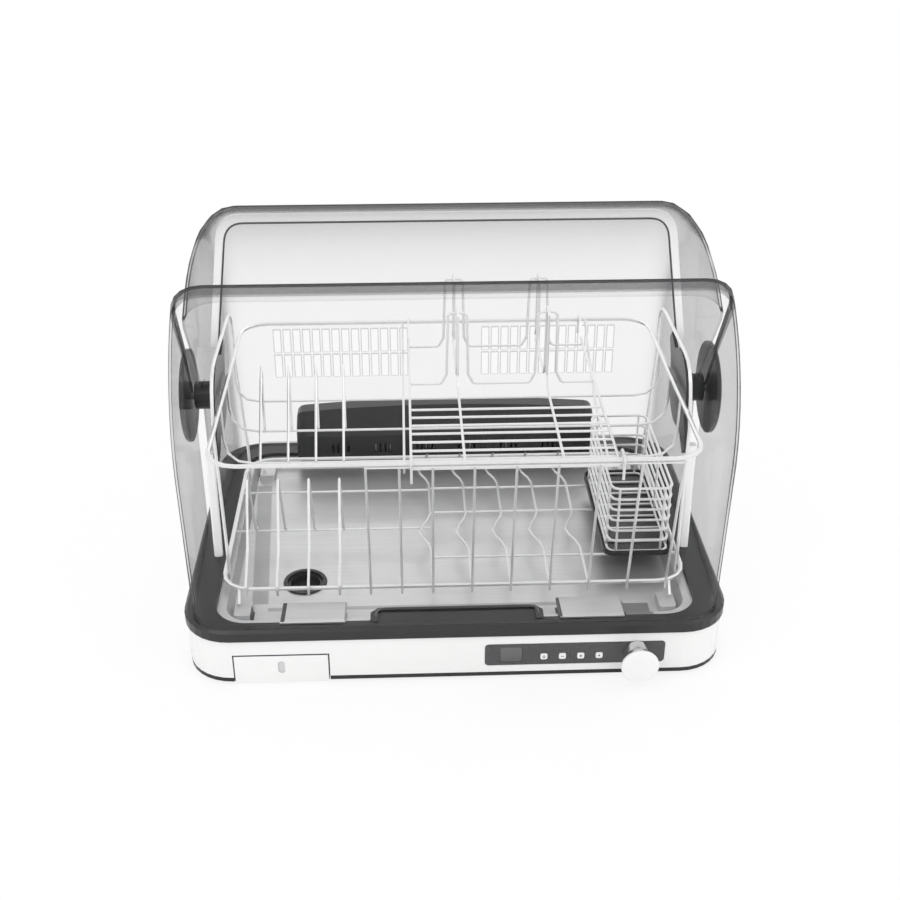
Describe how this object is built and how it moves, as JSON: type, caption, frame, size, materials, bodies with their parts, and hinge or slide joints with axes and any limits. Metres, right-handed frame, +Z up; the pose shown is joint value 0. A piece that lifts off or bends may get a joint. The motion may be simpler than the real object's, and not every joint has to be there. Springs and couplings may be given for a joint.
{
  "type": "dish drainer cabinet",
  "caption": "Countertop dish drainer cabinet: hinged clear cover over wire racks, steel drip tray, base with drain drawer, dial and keys, and a warm-air blower at the rear.",
  "frame": {"origin": "centre of the overall box on the plane of the feet", "axes": "+X to the right seen from the front, +Y to the back, +Z up"},
  "size_m": [0.5672, 0.4206, 0.4325],
  "materials": {
    "steel": "satin",
    "white_plastic": "gloss",
    "key_plastic": "satin",
    "rubber": "matt",
    "smoke_plastic": "clear smoke gloss",
    "clear_frame": "gloss",
    "brushed_steel": "brushed",
    "chrome_wire": "polished",
    "circuit_board": "matt",
    "panel_plastic": "satin",
    "display_glass": "gloss",
    "black_plastic": "satin"
  },
  "bodies": {
    "cabinet": {"base_screw_1": "steel", "base_screw_2": "steel", "base_screw_3": "steel", "base_screw_4": "steel", "base_shell": "white_plastic", "basket_wall_back": "chrome_wire", "basket_wall_front": "chrome_wire", "basket_wall_left": "chrome_wire", "basket_wall_right": "chrome_wire", "blower_frame": "steel", "blower_motor": "steel", "bottom_plate": "black_plastic", "control_board": "circuit_board", "control_panel": "panel_plastic", "cover_arch": "clear_frame", "cup_rack": "chrome_wire", "cutlery_basket": "chrome_wire", "cutlery_liner": "black_plastic", "display_window": "display_glass", "drain_cup": "black_plastic", "drip_tray": "brushed_steel", "foot_front_left": "rubber", "foot_front_right": "rubber", "foot_rear_left": "rubber", "foot_rear_right": "rubber", "heater_element": "steel", "heater_housing": "black_plastic", "hub_bracket_left": "black_plastic", "hub_bracket_right": "black_plastic", "lower_divider_1": "chrome_wire", "lower_divider_2": "chrome_wire", "lower_divider_3": "chrome_wire", "lower_divider_4": "chrome_wire", "lower_rack": "chrome_wire", "pivot_pin_left": "steel", "pivot_pin_right": "steel", "rack_arch_left": "chrome_wire", "rack_arch_right": "chrome_wire", "rack_front": "chrome_wire", "rear_cover": "smoke_plastic", "rim_deck": "black_plastic", "side_post_left": "clear_frame", "side_post_right": "clear_frame", "timer_body": "steel", "upper_rack": "chrome_wire"},
    "lid": {"front_cover": "smoke_plastic", "hub_disc_left": "black_plastic", "hub_disc_right": "black_plastic"},
    "drawer": {"drain_drawer": "white_plastic"},
    "dial": {"dial_cap": "key_plastic", "dial_skirt": "brushed_steel"},
    "rotor": {"blower_rotor": "black_plastic"},
    "key_body_1": {"key_1": "key_plastic"},
    "key_body_2": {"key_2": "key_plastic"},
    "key_body_3": {"key_3": "key_plastic"},
    "key_body_4": {"key_4": "key_plastic"}
  },
  "joints": [
    {"name": "lid_hinge", "type": "hinge", "parent": "cabinet", "child": "lid", "pos_m": [0, 0.0118, 0.234], "axis": [-1, 0, 0], "range_deg": [0, 105]},
    {"name": "drawer_slide", "type": "slide", "parent": "cabinet", "child": "drawer", "axis": [0, -1, 0], "range_m": [0, 0.09]},
    {"name": "dial_turn", "type": "hinge", "parent": "cabinet", "child": "dial", "pos_m": [0.183, 0, 0.03], "axis": [0, 1, 0], "continuous": true},
    {"name": "rotor_spin", "type": "hinge", "parent": "cabinet", "child": "rotor", "pos_m": [0, 0.1813, 0.0969], "axis": [1, 0, 0], "continuous": true},
    {"name": "key_press_1", "type": "slide", "parent": "cabinet", "child": "key_body_1", "axis": [0, 1, 0], "range_m": [0, 0.0008], "stiffness_N_per_m": 400},
    {"name": "key_press_2", "type": "slide", "parent": "cabinet", "child": "key_body_2", "axis": [0, 1, 0], "range_m": [0, 0.0008], "stiffness_N_per_m": 400},
    {"name": "key_press_3", "type": "slide", "parent": "cabinet", "child": "key_body_3", "axis": [0, 1, 0], "range_m": [0, 0.0008], "stiffness_N_per_m": 400},
    {"name": "key_press_4", "type": "slide", "parent": "cabinet", "child": "key_body_4", "axis": [0, 1, 0], "range_m": [0, 0.0008], "stiffness_N_per_m": 400}
  ]
}
